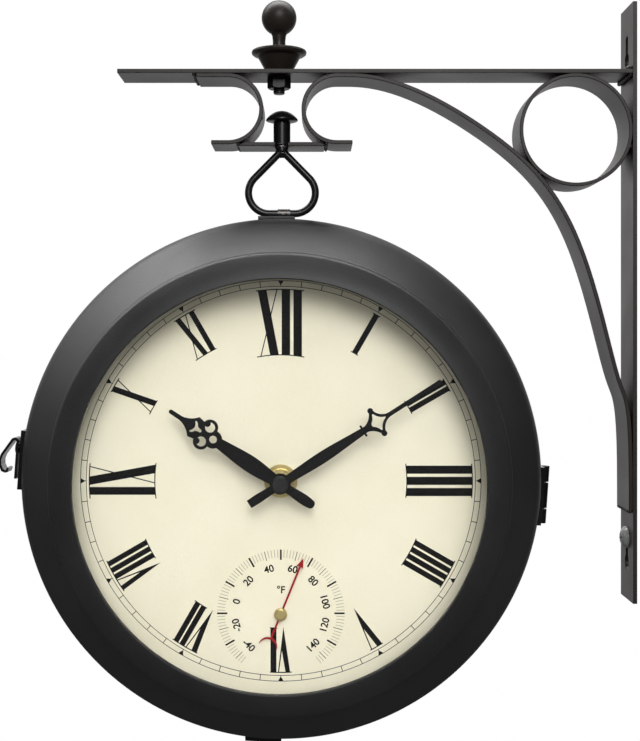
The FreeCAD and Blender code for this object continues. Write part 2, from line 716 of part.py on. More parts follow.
def turned_hardware(shape):
    """From the drawing's upright to the hardware's own, clockwise seen from the front."""
    shape.rotate(V(CLOCK_X, 0, CLOCK_Z), Y_AXIS, HARDWARE_TURN)
    return shape


def drum(clearance=0.0):
    return rod_y(CLOCK_X, CLOCK_Z, CASE_RADIUS + clearance, (-30, 30))


def hinge_leaf(side, knuckles, bore):
    """A leaf on one shell, rolled round the pin at its knuckles. side is -1 front, +1 rear."""
    pin_x = CLOCK_X + PIN_OUT
    face = CLOCK_X + CASE_RADIUS + 1.2
    edge = KNUCKLE_RADIUS + 0.5
    ys = sorted((side * edge, side * 11.4))
    leaf = box((face - 4, face), ys, (CLOCK_Z - HINGE_HALF, CLOCK_Z + HINGE_HALF))
    pieces = [leaf]
    for low, high in knuckles:
        span = (CLOCK_Z + low, CLOCK_Z + high)
        web = sorted((0, side * (edge + 1)))
        pieces.append(rod_z(pin_x, 0, KNUCKLE_RADIUS, span))
        pieces.append(box((pin_x - KNUCKLE_RADIUS, face), web, span))
    solid = fused(pieces).cut(drum())
    solid = solid.cut(rod_z(pin_x, 0, bore, (CLOCK_Z - 30, CLOCK_Z + 30)))
    return turned_hardware(solid)


def hinge_front_leaf():
    return hinge_leaf(-1, [(-HINGE_HALF, KNUCKLE_LOW - 0.25), (KNUCKLE_HIGH + 0.25, HINGE_HALF)], PIN_RADIUS)


def hinge_rear_leaf():
    return hinge_leaf(1, [(KNUCKLE_LOW + 0.25, KNUCKLE_HIGH - 0.25)], PIN_RADIUS + FIT)


def hinge_pin():
    pin = rod_z(CLOCK_X + PIN_OUT, 0, PIN_RADIUS, (CLOCK_Z - HINGE_HALF, CLOCK_Z + HINGE_HALF))
    return turned_hardware(pin)


def latch_x(out):
    return CLOCK_X - out


def latch_plate(ys):
    """A pad with a flat face, laid on the drum."""
    plate = box((latch_x(127.2), latch_x(123)), ys, (CLOCK_Z - LATCH_HALF, CLOCK_Z + LATCH_HALF))
    return plate.cut(drum())


def latch_base():
    """Pad on the front shell, with the boss and rivet that the lever turns on."""
    z = CLOCK_Z + LEVER_PIVOT_UP
    pad = latch_plate((-11.4, -0.5))
    boss = Part.makeCylinder(2.6, 0.9, V(latch_x(128.0), LEVER_PIVOT_Y, z), X_AXIS)
    stem = Part.makeCylinder(1.5, 3.0, V(latch_x(129.9), LEVER_PIVOT_Y, z), X_AXIS)
    head = Part.makeCylinder(2.6, 0.8, V(latch_x(130.2), LEVER_PIVOT_Y, z), X_AXIS)
    return turned_hardware(fused([pad, boss, stem, head]))


def latch_keeper():
    """Pad on the rear shell, with the headed pin that the lever hooks round."""
    z = CLOCK_Z + LEVER_PIVOT_UP
    pad = latch_plate((0.5, 11.4))
    stem = Part.makeCylinder(1.4, 3.0, V(latch_x(129.8), KEEPER_Y, z), X_AXIS)
    head = Part.makeCylinder(2.5, 0.8, V(latch_x(130.2), KEEPER_Y, z), X_AXIS)
    return turned_hardware(fused([pad, stem, head]))


def lever_outline():
    """The bent strip seen from the front, as (out, up): flat plate, fold, slope and curled end."""
    return [(128.1, -9.3), (129.3, -9.3), (129.3, 8.6), (129.9, 9.3), (130.6, 9.2), (135.4, 1.6),
            (136.1, -0.6), (135.9, -3.0), (134.9, -4.9), (133.6, -5.5), (133.2, -4.1),
            (132.1, -4.5), (132.6, -6.4), (133.9, -6.8), (135.8, -6.1), (137.0, -3.6), (137.3, -0.6),
            (136.5, 2.2), (131.6, 10.1), (130.2, 10.7), (129.0, 10.4), (128.1, 9.3)]


def latch_lever():
    """Swing lever. It hangs beside the seam; a quarter turn takes its notch round the keeper."""
    ys = (LEVER_PIVOT_Y - 4.6, LEVER_PIVOT_Y + 4.6)
    face = polygon([V(latch_x(out), ys[0], CLOCK_Z + up) for out, up in lever_outline()])
    strip = face.extrude(V(0, ys[1] - ys[0], 0))
    z = CLOCK_Z + LEVER_PIVOT_UP
    through = (latch_x(130.3), latch_x(127.9))
    reach = KEEPER_Y - LEVER_PIVOT_Y
    hole = Part.makeCylinder(1.5 + FIT, 4, V(latch_x(131), LEVER_PIVOT_Y, z), X_AXIS)
    start = V(through[0], LEVER_PIVOT_Y, z)
    depth = through[1] - through[0]
    outer = Part.makeCylinder(reach + 1.7, depth, start, X_AXIS)
    inner = Part.makeCylinder(reach - 1.7, depth, start, X_AXIS)
    mouth = box(through, (LEVER_PIVOT_Y - 1.2, LEVER_PIVOT_Y + 6), (z - 20, z))
    notch = outer.cut(inner).common(mouth)
    return turned_hardware(strip.cut(hole).cut(notch))


def bottom_tab():
    """Folded strip under the case, welded to the front shell; it guides the rear one home."""
    half = 8.8
    low = CASE_RADIUS
    wall = 1.3
    ys = (-11.0, 9.0)
    base = box((-half, half), ys, (-low - wall, -low + 2))
    fold = box((-half, half), (ys[1] - wall, ys[1]), (-low - 3.9, -low))
    flap = box((-half, half), (-6.0, ys[1]), (-low - 3.9, -low - 3.9 + wall))
    tab = fused([base, fold, flap])
    tab.translate(V(CLOCK_X, 0, CLOCK_Z))
    front = rod_y(CLOCK_X, CLOCK_Z, CASE_RADIUS, (-12, 0))
    rear = rod_y(CLOCK_X, CLOCK_Z, CASE_RADIUS + 0.35, (0, 12))
    return turned_hardware(tab.cut(front).cut(rear))


# ---------------------------------------------------------------- export

BRACKET = [wall_plate, arm_bar, arch_strap, left_scroll, bracket_ring, hanger_bar, finial_ball,
           finial_collar, finial_nut, wall_screw]
HANGER = [hanger_stud, wire_loop, loop_sleeve, saddle_plate]
HARDWARE = [hinge_front_leaf, hinge_rear_leaf, hinge_pin, latch_base, latch_keeper, latch_lever,
            bottom_tab]
FRONT = [front_shell, front_glass, front_spacer_ring, front_dial, front_dial_clips, front_movement,
         front_cell, front_washer, front_nut, front_minute_arbor, front_hour_pipe, front_set_knob,
         front_hand_cap, front_hour_hand, front_minute_hand, front_thermometer_cup,
         front_thermometer_coil, front_thermometer_spindle, front_thermometer_needle]


def save(name, shape):
    shape.exportStep(os.path.join("parts", name + ".step"))


def main():
    os.makedirs("parts", exist_ok=True)
    for make in [*BRACKET, *HANGER, *HARDWARE]:
        save(make.__name__, make())
    for make in FRONT:
        shape = make()
        save(make.__name__, shape)
        save(make.__name__.replace("front_", "rear_"), to_rear(shape))


main()
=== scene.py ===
import json
import math

import bpy
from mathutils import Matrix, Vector
from mathutils.geometry import intersect_line_line_2d


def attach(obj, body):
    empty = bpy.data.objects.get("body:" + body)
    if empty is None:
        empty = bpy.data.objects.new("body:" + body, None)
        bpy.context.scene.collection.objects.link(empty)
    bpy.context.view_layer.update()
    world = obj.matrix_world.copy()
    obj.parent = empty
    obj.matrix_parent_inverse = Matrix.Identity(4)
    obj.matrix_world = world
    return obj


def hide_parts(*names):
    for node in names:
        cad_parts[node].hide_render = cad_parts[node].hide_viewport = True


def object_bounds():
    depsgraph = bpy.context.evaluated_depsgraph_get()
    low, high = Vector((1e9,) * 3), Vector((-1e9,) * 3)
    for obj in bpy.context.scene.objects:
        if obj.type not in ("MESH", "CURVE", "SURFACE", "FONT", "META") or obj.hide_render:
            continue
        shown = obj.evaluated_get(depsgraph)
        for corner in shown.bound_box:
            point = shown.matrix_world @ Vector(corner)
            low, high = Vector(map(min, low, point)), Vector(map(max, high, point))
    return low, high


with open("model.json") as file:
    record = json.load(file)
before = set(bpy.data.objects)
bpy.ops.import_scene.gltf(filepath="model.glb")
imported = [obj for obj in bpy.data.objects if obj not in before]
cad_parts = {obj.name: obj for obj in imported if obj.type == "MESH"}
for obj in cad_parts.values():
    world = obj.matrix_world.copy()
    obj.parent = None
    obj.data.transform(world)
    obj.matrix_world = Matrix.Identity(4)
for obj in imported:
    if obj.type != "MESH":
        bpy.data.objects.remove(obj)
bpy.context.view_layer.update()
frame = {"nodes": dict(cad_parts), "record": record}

# The bracket's flat bars.
# Hot-rolled flat steel, cut, bent cold and welded, then powder coated a warm dark grey.
# The coat rounds every edge a little and has a fine, even grain.

MM = 0.001
BAR_EDGE = 0.35
CORNER = math.radians(30)        # what is sharper than this gets a rounded edge
SOFT = math.radians(35)          # what is gentler than this is shaded smooth
FLAT = math.radians(0.2)         # triangles that lie this flat together make one face
MERGE = 0.0005
PATCH = 38                       # the width in mm of a coat's soft patches
SHEEN_SPREAD = 0.04

record = frame["record"]
body_of = {node: body for body, members in record["behaviour"]["bodies"].items() for node in members}


def linear(hex_colour):
    """The linear colour of an sRGB hex value."""
    channels = [int(hex_colour[k:k + 2], 16) / 255 for k in (1, 3, 5)]
    return (*[c / 12.92 if c <= 0.04045 else ((c + 0.055) / 1.055) ** 2.4 for c in channels], 1.0)


def add(material, kind, inputs=None, **settings):
    """Adds one node. inputs gives each socket a plain value or the output that feeds it."""
    tree = material.node_tree
    made = tree.nodes.new("ShaderNode" + kind)
    for name, value in settings.items():
        setattr(made, name, value)
    for name, value in (inputs or {}).items():
        if isinstance(value, bpy.types.NodeSocket):
            tree.links.new(value, made.inputs[name])
        else:
            made.inputs[name].default_value = value
    return made


def blank_material(name):
    material = bpy.data.materials.new(name)
    material.use_nodes = True
    material.node_tree.nodes.clear()
    return material


def painted(material, dark, light, roughness, specular, grain_mm, relief_mm):
    """The shader of a sprayed coat: two close tones in soft patches, and the grain of the spray."""
    where = add(material, "TexCoord").outputs["Object"]
    patches = add(material, "TexNoise", {"Vector": where, "Scale": 1000 / PATCH, "Detail": 3.0})
    grain = add(material, "TexNoise", {"Vector": where, "Scale": 1000 / grain_mm, "Detail": 2.0})
    tone = add(material, "MapRange", {"Value": patches.outputs["Fac"],
                                      "From Min": 0.35, "From Max": 0.65})
    speck = add(material, "MapRange", {"Value": grain.outputs["Fac"], "From Min": 0.3, "From Max": 0.7})
    blend = add(material, "Mix", {"Factor": 0.5, "A": tone.outputs[0], "B": speck.outputs[0]})
    colour = add(material, "Mix", {"Factor": blend.outputs[0], "A": linear(dark), "B": linear(light)},
                 data_type="RGBA")
    sheen = add(material, "MapRange", {
        "Value": patches.outputs["Fac"], "From Min": 0.3, "From Max": 0.7,
        "To Min": roughness - SHEEN_SPREAD, "To Max": roughness + SHEEN_SPREAD})
    relief = add(material, "Bump", {"Height": grain.outputs["Fac"], "Strength": 0.5,
                                    "Distance": relief_mm * MM})
    return add(material, "BsdfPrincipled", {
        "Base Color": colour.outputs["Result"], "Roughness": sheen.outputs[0],
        "Specular IOR Level": specular, "Normal": relief.outputs[0]})


def sprayed(name, *finish):
    """A material that is one sprayed coat all over."""
    material = blank_material(name)
    add(material, "OutputMaterial", {"Surface": painted(material, *finish).outputs[0]})
    return material


def wear(part, material):
    """Gives a piece its one material."""
    part.data.materials.clear()
    part.data.materials.append(material)


def alone(part):
    """Makes a piece the only one selected."""
    bpy.ops.object.select_all(action="DESELECT")
    part.select_set(True)
    bpy.context.view_layer.objects.active = part


def fit(part, material, body):
    """Finishes a new piece: its material and the body that it rides on."""
    wear(part, material)
    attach(part, body)


def round_edges(part, width):
    """Rounds the sharp edges of the active piece, and keeps its flat faces flat to the light."""
    bevel = part.modifiers.new("edges", "BEVEL")
    bevel.width = width * MM
    bevel.segments = 3
    bevel.limit_method = "ANGLE"
    bevel.angle_limit = CORNER
    bpy.ops.object.modifier_apply(modifier="edges")
    bpy.ops.object.shade_smooth_by_angle(angle=SOFT)
    level = part.modifiers.new("level faces", "WEIGHTED_NORMAL")
    level.keep_sharp = True
    bpy.ops.object.modifier_apply(modifier="level faces")


def eased(node, width, material):
    """A copy of a CAD node with its edges rounded, which stands for the node."""
    part = bpy.data.objects.new(node + "_eased", frame["nodes"][node].data.copy())
    bpy.context.collection.objects.link(part)
    alone(part)
    bpy.ops.mesh.customdata_custom_splitnormals_clear()
    bpy.ops.object.mode_set(mode="EDIT")
    bpy.ops.mesh.select_all(action="SELECT")
    bpy.ops.mesh.remove_doubles(threshold=MERGE * MM)
    bpy.ops.mesh.dissolve_limited(angle_limit=FLAT)
    bpy.ops.object.mode_set(mode="OBJECT")
    round_edges(part, width)
    fit(part, material, body_of[node])
    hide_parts(node)
    return part


powder_coat = sprayed("powder-coated steel, warm dark grey",
                      "#241f1b", "#332c27", 0.41, 0.37, 0.6, 0.05)
for bar in ("wall_plate", "arm_bar", "arch_strap", "left_scroll", "bracket_ring", "hanger_bar"):
    eased(bar, BAR_EDGE, powder_coat)

# The welds.
# Short beads laid in the corners where the bars meet, across the bars' width. Each is a row of
# drops that ran together, and it lies under the same powder coat.

WELD_HALF = 11.4                 # a bead stops this far from the bar's middle
WELD_DETAIL = 0.25
DROP_STEP = 1.3                  # from drop to drop, as a share of the bead's radius
SWELL = 0.16
SWAY = 0.15


def joined(parts, name):
    """One piece from several, with its place in its mesh."""
    alone(parts[0])
    for part in parts:
        part.select_set(True)
    bpy.ops.object.join()
    whole = bpy.context.object
    whole.name = name
    bpy.ops.object.transform_apply(location=True, rotation=True, scale=True)
    return whole


def weld(name, material, body, drops):
    """Weld metal that ran together from drops, each an (x, y, z, radius)."""
    balls = []
    for x, y, z, radius in drops:
        bpy.ops.mesh.primitive_uv_sphere_add(segments=16, ring_count=10, radius=radius,
                                             location=(x, y, z))
        balls.append(bpy.context.object)
    metal = joined(balls, name)
    remesh = metal.modifiers.new("run together", "REMESH")
    remesh.mode = "VOXEL"
    remesh.voxel_size = WELD_DETAIL * MM
    remesh.use_smooth_shade = True
    bpy.ops.object.modifier_apply(modifier="run together")
    fit(metal, material, body)


def bead(name, x, z, size):
    """A lumpy weld across the bars at (x, z)."""
    count = round(2 * WELD_HALF / (DROP_STEP * size))
    drops = []
    for k in range(count + 1):
        y = WELD_HALF * (2 * k / count - 1)
        radius = size * (1 + SWELL * math.sin(2.4 * k + x))
        sway = SWAY * size * math.sin(1.9 * k + z)
        drops.append(((x + sway) * MM, y * MM, (z - sway) * MM, radius * MM))
    weld(name, powder_coat, "bracket", drops)


bead("weld_arm_left_scroll", -214.0, 110.4, 0.9)
bead("weld_arm_arch", -149.6, 109.9, 1.1)
bead("weld_arm_plate", -3.1, 113.7, 1.2)
bead("weld_arm_plate_below", -3.0, 110.0, 1.0)
bead("weld_ring_arch", -46.7, 62.0, 1.2)
bead("weld_ring_plate", -3.2, 75.6, 1.2)
bead("weld_arch_foot", -3.2, -101.0, 1.0)
bead("weld_arch_top", -3.1, -85.0, 0.9)
bead("weld_left_scroll_bar", -193.0, 77.0, 0.75)
bead("weld_right_scroll_bar", -150.2, 77.0, 0.75)

# The finial and its nut.
# A ball with a flared neck, a collar and a threaded stud, turned from bar and painted with the
# bracket. A black nut draws them down on the arm, and two turns of the thread show below it.

FINIAL_X = -173.2
THREAD_FOOT = 102.95
THREAD_ROOT = 2.6
THREAD_CREST = 2.95
THREAD_PITCH = 1.0


def turn_outwards():
    """Turns all faces of the piece in edit mode outwards, and leaves edit mode."""
    bpy.ops.mesh.select_all(action="SELECT")
    bpy.ops.mesh.normals_make_consistent(inside=False)
    bpy.ops.object.mode_set(mode="OBJECT")


for turned_part in ("finial_ball", "finial_collar"):
    wear(frame["nodes"][turned_part], powder_coat)
black_oxide = sprayed("blackened steel nut", "#0e0e0e", "#1a1918", 0.42, 0.4, 0.8, 0.02)
eased("finial_nut", 0.2, black_oxide)

bpy.ops.object.select_all(action="DESELECT")
bpy.ops.mesh.primitive_circle_add(vertices=3, location=(FINIAL_X * MM, 0, THREAD_FOOT * MM))
thread = bpy.context.object
thread.name = "finial_thread"
section = ((THREAD_ROOT, 0.1), (THREAD_CREST, 0.5), (THREAD_ROOT, 0.9))
for corner, (out, up) in zip(thread.data.vertices, section):
    corner.co = (out * MM, 0, up * THREAD_PITCH * MM)
turns = thread.modifiers.new("turns", "SCREW")
turns.axis = "Z"
turns.screw_offset = THREAD_PITCH * MM
turns.iterations = 2
turns.steps = turns.render_steps = 40
bpy.ops.object.modifier_apply(modifier="turns")
bpy.ops.object.transform_apply(location=True, rotation=True, scale=True)
bpy.ops.object.mode_set(mode="EDIT")
bpy.ops.mesh.select_all(action="SELECT")
bpy.ops.mesh.fill_holes(sides=4)
turn_outwards()
bpy.ops.object.shade_smooth_by_angle(angle=CORNER)
fit(thread, black_oxide, "bracket")

# The screw in the lower keyhole.
# A pan-head steel screw with a cross recess. Its bright zinc plate is the palest spot on the dark
# bracket.

zinc = sprayed("bright zinc plate", "#8d8d8b", "#b4b4b2", 0.3, 0.5, 0.6, 0.01)
eased("wall_screw", 0.12, zinc)

# The hanger.
# A turned stud with a mushroom head, welded to a bent wire loop with its sleeve and saddle plate,
# and all painted satin black. Bare steel shows where the neck has turned in the bar's slot and
# where the sleeve was rubbed.

STUD_X = -171.8
STUD_RINGS = [(2.4, 74.3), (2.95, 74.9), (2.95, 77.9), (4.15, 77.9), (4.15, 88.6), (4.4, 88.85),
              (6.4, 89.15), (7.5, 89.5), (7.8, 89.8), (7.85, 90.1), (7.7, 90.5), (7.0, 91.35),
              (5.9, 92.35), (4.9, 93.1), (3.9, 93.7), (2.8, 94.15), (1.6, 94.45), (0.5, 94.58)]
CROTCH_DROPS = [(-1.3, 74.3, 1.9), (1.3, 74.3, 1.9), (0, 73.7, 2.0), (-0.7, 72.9, 1.5),
                (0.7, 72.9, 1.5)]
RUBS = ((77.2, 1.9), (44.3, 2.2))            # height and reach of the worn bands
RUB_DEPTH = 0.62
CHIP = 1.6
SATIN_FINISH = ("#111111", "#1d1d1d", 0.33, 0.45, 0.7, 0.015)

satin_black = sprayed("satin black paint on the hanger", *SATIN_FINISH)
rubbed = blank_material("satin black paint rubbed through to steel")
paint = painted(rubbed, *SATIN_FINISH)
bare = add(rubbed, "BsdfPrincipled", {"Base Color": linear("#8c8985"), "Metallic": 1.0,
                                      "Roughness": 0.5})
place = add(rubbed, "TexCoord").outputs["Object"]
height = add(rubbed, "SeparateXYZ", {"Vector": place}).outputs["Z"]
chips = add(rubbed, "TexNoise", {"Vector": place, "Scale": 1000 / CHIP, "Detail": 3.0})
marks = []
for rub_z, reach in RUBS:
    offset = add(rubbed, "Math", {0: height, 1: rub_z * MM}, operation="SUBTRACT")
    distance = add(rubbed, "Math", {0: offset.outputs[0]}, operation="ABSOLUTE")
    marks.append(add(rubbed, "MapRange", {"Value": distance.outputs[0], "From Min": 0.0,
                                          "From Max": reach * MM, "To Min": RUB_DEPTH, "To Max": 0.0}))
rub = add(rubbed, "Math", {0: marks[0].outputs[0], 1: marks[1].outputs[0]}, operation="ADD")
through = add(rubbed, "Math", {0: rub.outputs[0], 1: chips.outputs["Fac"]}, operation="ADD")
edge = add(rubbed, "MapRange", {"Value": through.outputs[0], "From Min": 0.86, "From Max": 0.93})
worn = add(rubbed, "MixShader", {"Fac": edge.outputs[0], 1: paint.outputs[0], 2: bare.outputs[0]})
add(rubbed, "OutputMaterial", {"Surface": worn.outputs[0]})
bpy.ops.object.select_all(action="DESELECT")
foot_radius, foot_z = STUD_RINGS[0]
bpy.ops.mesh.primitive_circle_add(vertices=96, radius=foot_radius * MM, fill_type="NGON",
                                  location=(STUD_X * MM, 0, foot_z * MM))
stud = bpy.context.object
stud.name = "hanger_stud_turned"
bpy.ops.object.transform_apply(location=True, rotation=True, scale=True)
bpy.ops.object.mode_set(mode="EDIT")
bpy.ops.mesh.select_all(action="SELECT")
for (radius, z), (next_radius, next_z) in zip(STUD_RINGS, STUD_RINGS[1:]):
    bpy.ops.mesh.extrude_region_move(TRANSFORM_OT_translate={"value": (0, 0, (next_z - z) * MM)})
    grow = next_radius / radius
    bpy.ops.transform.resize(value=(grow, grow, 1), center_override=(STUD_X * MM, 0, next_z * MM))
turn_outwards()
bpy.ops.object.shade_smooth_by_angle(angle=SOFT)
fit(stud, rubbed, body_of["hanger_stud"])
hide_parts("hanger_stud")

wear(frame["nodes"]["loop_sleeve"], rubbed)
wear(frame["nodes"]["wire_loop"], satin_black)
eased("saddle_plate", 0.2, satin_black)
weld("weld_stud_loop", satin_black, "clock",
     [((STUD_X + x) * MM, 0, z * MM, radius * MM) for x, z, radius in CROTCH_DROPS])

# The case.
# Each half is spun from one steel sheet over a form: a hemmed lip, a shallow cone, a bead and a
# groove, a long bevel, a rounded shoulder and the drum. It is sprayed satin charcoal, with a slight
# orange peel.

CLOCK_X = -171.8
CLOCK_Z = -85.0
CLOCK_CENTRE = Vector((CLOCK_X, 0, CLOCK_Z)) * MM
SHEET = 0.9
LIP_RADIUS = 94.6
LIP_BACK = -47.0
LIP_ROUND = 0.6
LIP_ROUND_MIDDLE = 0.18
CONE_END = (105.1, -43.0)
BEAD_TOP = (106.45, -42.1)
BEAD_END = (107.35, -40.8)
GROOVE = [(107.45, -40.1), (108.0, -39.55), (108.3, -39.2)]
BEVEL_END = (121.0, -21.5)
SHOULDER = (124.55, -16.0)
CASE_RADIUS = 125.6
DRUM_START = -11.0
SEAM = -0.04
CASE_FRONT = -50.0


def through_three(start, middle, end, steps):
    """Points on the arc through three points, without its start."""
    a, b, c = Vector(start), Vector(middle), Vector(end)
    turn = 2 * (a.x * (b.y - c.y) + b.x * (c.y - a.y) + c.x * (a.y - b.y))
    around = ((a, b, c), (b, c, a), (c, a, b))
    centre = Vector((sum(p.length_squared * (q.y - r.y) for p, q, r in around) / turn,
                     sum(p.length_squared * (r.x - q.x) for p, q, r in around) / turn))
    first = math.atan2(a.y - centre.y, a.x - centre.x)
    sweep = math.atan2(c.y - centre.y, c.x - centre.x) - first
    radius = (a - centre).length
    angles = [first + sweep * k / steps for k in range(1, steps + 1)]
    return [(centre.x + radius * math.cos(t), centre.y + radius * math.sin(t)) for t in angles]


def spun(name, rings):
    """A circle drawn out ring by ring through (radius, y), as a sheet over its form."""
    bpy.ops.object.select_all(action="DESELECT")
    radius, y = rings[0]
    bpy.ops.mesh.primitive_circle_add(vertices=256, radius=radius * MM, rotation=(math.pi / 2, 0, 0),
                                      location=CLOCK_CENTRE + Vector((0, y * MM, 0)))
    bpy.ops.object.transform_apply(location=True, rotation=True, scale=True)
    part = bpy.context.object
    part.name = name
    bpy.ops.object.mode_set(mode="EDIT")
    bpy.ops.mesh.select_all(action="SELECT")
    for next_radius, next_y in rings[1:]:
        bpy.ops.mesh.extrude_region_move(TRANSFORM_OT_translate={"value": (0, (next_y - y) * MM, 0)})
        grow = next_radius / radius
        bpy.ops.transform.resize(value=(grow, 1, grow),
                                 center_override=CLOCK_CENTRE + Vector((0, next_y * MM, 0)))
        radius, y = next_radius, next_y
    turn_outwards()
    return part


def rear_copy(part, name):
    """The same piece for the dial on the other side: half a turn about the upright axis."""
    alone(part)
    bpy.ops.object.duplicate()
    twin = bpy.context.object
    twin.name = name
    bpy.ops.transform.rotate(value=math.pi, orient_axis="Z", center_override=(CLOCK_X * MM, 0, 0))
    bpy.ops.object.transform_apply(location=True, rotation=True, scale=True)
    return twin


lip_edge = (LIP_RADIUS, CASE_FRONT + LIP_ROUND)
shell_rings = [(LIP_RADIUS, LIP_BACK), lip_edge]
shell_rings += through_three(lip_edge, (LIP_RADIUS + LIP_ROUND_MIDDLE, CASE_FRONT + LIP_ROUND_MIDDLE),
                             (LIP_RADIUS + LIP_ROUND, CASE_FRONT), 4)
shell_rings += [CONE_END, *through_three(CONE_END, BEAD_TOP, BEAD_END, 6)]
shell_rings += [*GROOVE, BEVEL_END]
shell_rings += [*through_three(BEVEL_END, SHOULDER, (CASE_RADIUS, DRUM_START), 10), (CASE_RADIUS, SEAM)]
front_case = spun("front_shell_spun", shell_rings)
wall = front_case.modifiers.new("wall", "SOLIDIFY")
wall.thickness = SHEET * MM
wall.offset = -1.0
wall.use_even_offset = True
bpy.ops.object.modifier_apply(modifier="wall")
bpy.ops.object.shade_smooth_by_angle(angle=math.radians(50))
case_paint = sprayed("satin charcoal paint on spun steel",
                     "#2a2a2b", "#353536", 0.45, 0.5, 0.9, 0.16)
rear_case = rear_copy(front_case, "rear_shell_spun")
for case, node in ((front_case, "front_shell"), (rear_case, "rear_shell")):
    fit(case, case_paint, body_of[node])
    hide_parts(node)

# Hinge, latch and foot.
# Folded steel strip, welded to the two shells and brushed with gloss black enamel, which gives
# sharp highlights. The hinge pin is bare steel rod.

TOOL_MARK = 0.7                  # in mm, far coarser than real tool marks, so that they show

enamel = sprayed("gloss black enamel on the fittings", "#0a0a0a", "#141414", 0.22, 0.5, 1.5, 0.01)
for part_name in ("hinge_front_leaf", "hinge_rear_leaf", "latch_base", "latch_keeper", "latch_lever",
                  "bottom_tab"):
    eased(part_name, 0.15, enamel)


def turned_metal(name, dark, light, roughness):
    """Bare metal with fine, soft tool marks."""
    material = blank_material(name)
    where = add(material, "TexCoord").outputs["Object"]
    patches = add(material, "TexNoise", {"Vector": where, "Scale": 1000 / TOOL_MARK, "Detail": 3.0})
    colour = add(material, "Mix", {"Factor": patches.outputs["Fac"], "A": linear(dark),
                                   "B": linear(light)}, data_type="RGBA")
    body = add(material, "BsdfPrincipled", {"Base Color": colour.outputs["Result"], "Metallic": 1.0,
                                            "Roughness": roughness})
    add(material, "OutputMaterial", {"Surface": body.outputs[0]})
    return material


steel = turned_metal("bare steel", "#6d6c68", "#8f8e8a", 0.45)
wear(frame["nodes"]["hinge_pin"], steel)

# The dials.
# Aluminium sheet, printed in front with a cream ground that has faint warm clouds, and left bare
# behind, where the open case shows it.

DIAL_FRONT = -22.0
DIAL_MIDDLE = 21.6

dial_sheet = blank_material("aluminium dial with a cream printed ground")
ground = painted(dial_sheet, "#eee8cc", "#f5f0d8", 0.62, 0.25, 0.6, 0.0)
bare = add(dial_sheet, "BsdfPrincipled", {"Base Color": linear("#b9bbbc"), "Metallic": 0.4,
                                          "Roughness": 0.5})
place = add(dial_sheet, "TexCoord").outputs["Object"]
depth = add(dial_sheet, "SeparateXYZ", {"Vector": place}).outputs["Y"]
distance = add(dial_sheet, "Math", {0: depth}, operation="ABSOLUTE")
printed = add(dial_sheet, "Math", {0: distance.outputs[0], 1: DIAL_MIDDLE * MM},
              operation="GREATER_THAN")
sides = add(dial_sheet, "MixShader", {"Fac": printed.outputs[0], 1: bare.outputs[0],
                                      2: ground.outputs[0]})
add(dial_sheet, "OutputMaterial", {"Surface": sides.outputs[0]})
for side in ("front", "rear"):
    wear(frame["nodes"][side + "_dial"], dial_sheet)

# The minute track and the numerals.
# Screen printed in black, 0.05 mm proud of the ground. Everything is drawn as (across, out) in
# millimetres, where out is the distance from the hands' axis, and then turned to its hour.

INK_PROUD = 0.05
INK_SUNK = 0.02
TRACK_OUTER = 95.1
TRACK_INNER = 92.4
TRACK_LINE = 0.28
TRACK_TICK = 0.17                # half the width of a minute's tick
TRACK_WEDGE = 1.35               # half the width of an hour's wedge
NUMERAL_TOP = 90.7
SERIF = 0.5
HAIRLINE = 0.5
LONG_FOOT = 59.6
SHORT_FOOT = 69.7
ARC_STEP = 1.5
patches = []


def inked(corners, turn=0.0, drop=0.0):
    """One flat patch of ink from its (across, out) corners, turned clockwise by an angle in degrees
    about the hands' axis, or about a point that lies lower by drop."""
    bpy.ops.object.select_all(action="DESELECT")
    bpy.ops.mesh.primitive_circle_add(vertices=len(corners), fill_type="NGON")
    patch = bpy.context.object
    angle = math.radians(turn)
    for vertex, (across, out) in zip(patch.data.vertices, corners):
        x = CLOCK_X + across * math.cos(angle) + out * math.sin(angle)
        z = CLOCK_Z - drop - across * math.sin(angle) + out * math.cos(angle)
        vertex.co = (x * MM, DIAL_FRONT * MM, z * MM)
    patches.append(patch)


def on_ring(radius, across):
    """The (across, out) point on a circle about the hands' axis."""
    return (across, math.sqrt(radius ** 2 - across ** 2))


def on_arc(radius, left, right):
    """(across, out) points along a part of that circle."""
    steps = max(1, round((right - left) / ARC_STEP))
    return [on_ring(radius, left + (right - left) * k / steps) for k in range(steps + 1)]


def serif(radius, left, right, turn):
    """A thin line along the numeral's top or foot."""
    inked(on_arc(radius + SERIF, left, right) + on_arc(radius, left, right)[::-1], turn)


def bars(spans, foot, turn):
    """The upright strokes of I, II, III and IIII, as (left, right) pairs."""
    for left, right in spans:
        inked(on_arc(NUMERAL_TOP, left, right) + on_arc(foot + SERIF, left, right)[::-1], turn)


def even_bars(count, width, gap, middle=0.0):
    """Equal strokes with equal gaps, as (left, right) pairs."""
    pitch = width + gap
    lefts = [middle + pitch * (k - (count - 1) / 2) - width / 2 for k in range(count)]
    return [(left, left + width) for left in lefts]


def letter_v(left, inner_left, counter, inner_right, right, apex, turn):
    """A thick and a thin stroke that meet at the foot: across at the top, and two whole points."""
    top = [on_ring(NUMERAL_TOP, across) for across in (left, inner_left, inner_right, right)]
    inked([top[0], top[1], counter, top[2], top[3], apex], turn)


